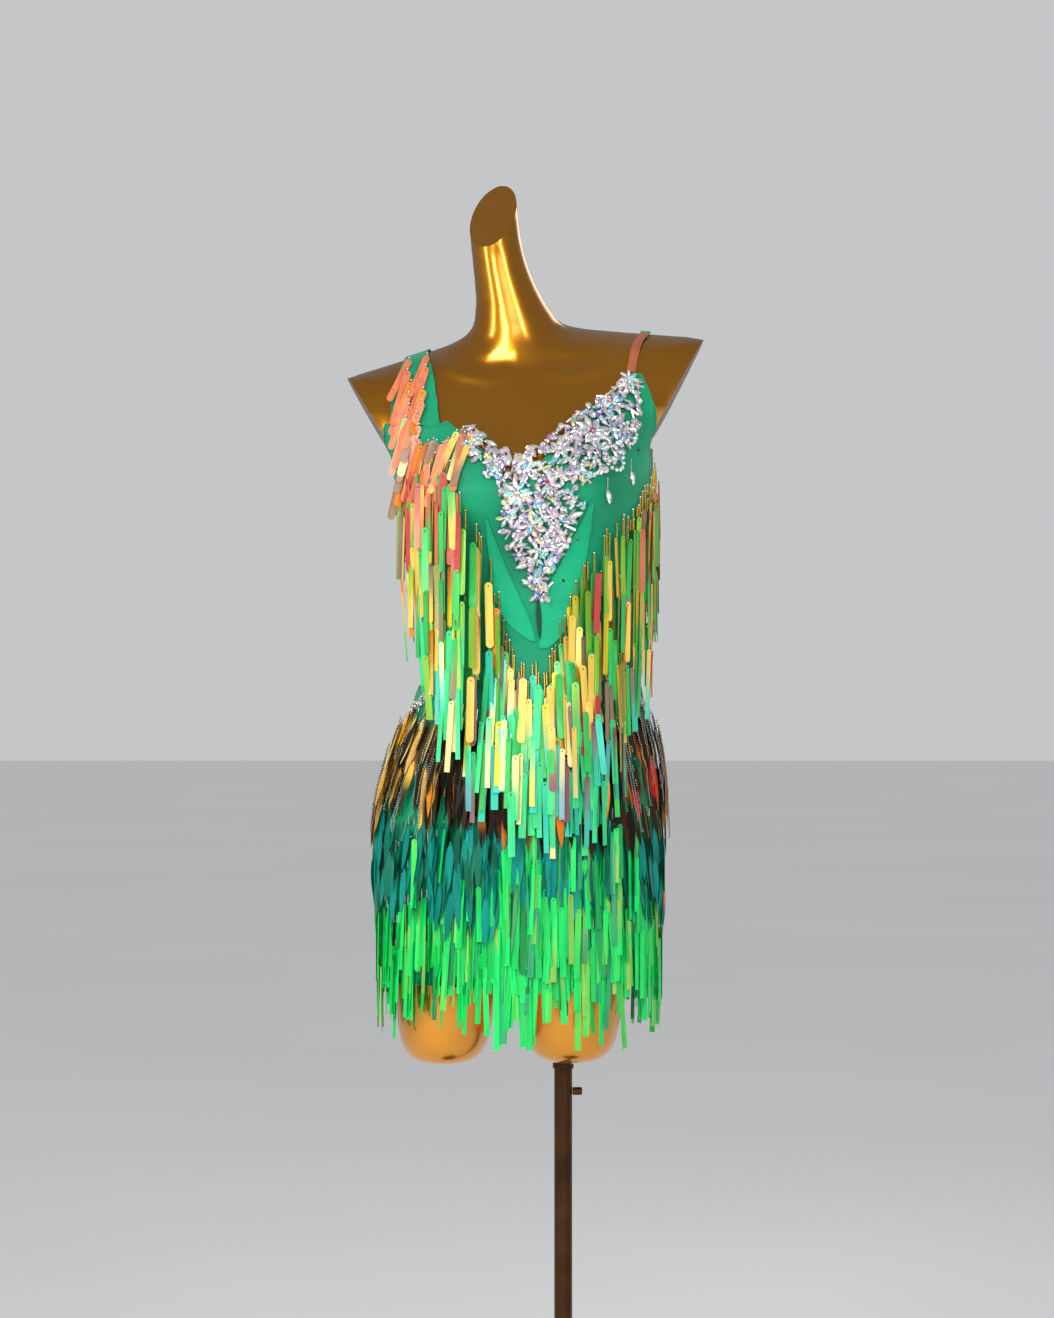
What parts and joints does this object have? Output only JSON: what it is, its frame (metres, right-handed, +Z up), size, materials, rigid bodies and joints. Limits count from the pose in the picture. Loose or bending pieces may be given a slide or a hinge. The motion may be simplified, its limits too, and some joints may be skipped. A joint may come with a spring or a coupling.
{
  "type": "salsa dance dress on dress form",
  "caption": "Short fringed salsa dance dress with one wide and one thin strap, a crystal-edged V neck and a tiered fringe skirt, on a glossy limbless dress form with a pole stand.",
  "frame": {"origin": "centre of the round base plate's underside, on the pole's axis, on the floor", "axes": "+Z up along the pole; the front of the dress faces -Y; +X is to the right of a viewer who faces the dress, and is the side of the thin strap"},
  "size_m": [0.3979, 0.34, 1.609],
  "materials": {
    "gold": "glossy metallic gold lacquer",
    "steel": "dark bronze, satin",
    "green_cloth": "emerald stretch knit",
    "green_mesh": "lighter emerald crepe bands",
    "nude_mesh": "tan stretch mesh and elastic",
    "crystal": "clear and iridescent cut stones",
    "strips": "iridescent film strips on bead strings",
    "bronze_sequin": "dark bronze mirror-film leaves",
    "teal_sequin": "teal film leaves",
    "neon_sequin": "neon green film strips"
  },
  "bodies": {
    "root": {"form_torso": "gold", "pole": "steel", "pole_ferrule": "steel", "thumbscrew": "steel", "base_hub": "steel", "base_plate": "steel", "bodice_front": "green_cloth", "bodice_back": "green_cloth", "side_insert_left": "nude_mesh", "side_insert_right": "nude_mesh", "neck_gusset": "nude_mesh", "band_left": "green_mesh", "band_right": "green_mesh", "crystal_applique": "crystal", "hip_trim_left": "crystal", "hip_trim_right": "crystal", "strap_wide": "green_cloth", "strap_thin": "nude_mesh", "strap_thin_back": "green_cloth", "fringe_strap": "strips", "fringe_front": "strips", "fringe_back": "strips", "skirt_front": "green_cloth", "skirt_back": "green_cloth", "tier_bronze": "bronze_sequin", "tier_teal": "teal_sequin", "tier_green": "neon_sequin"}
  },
  "joints": []
}
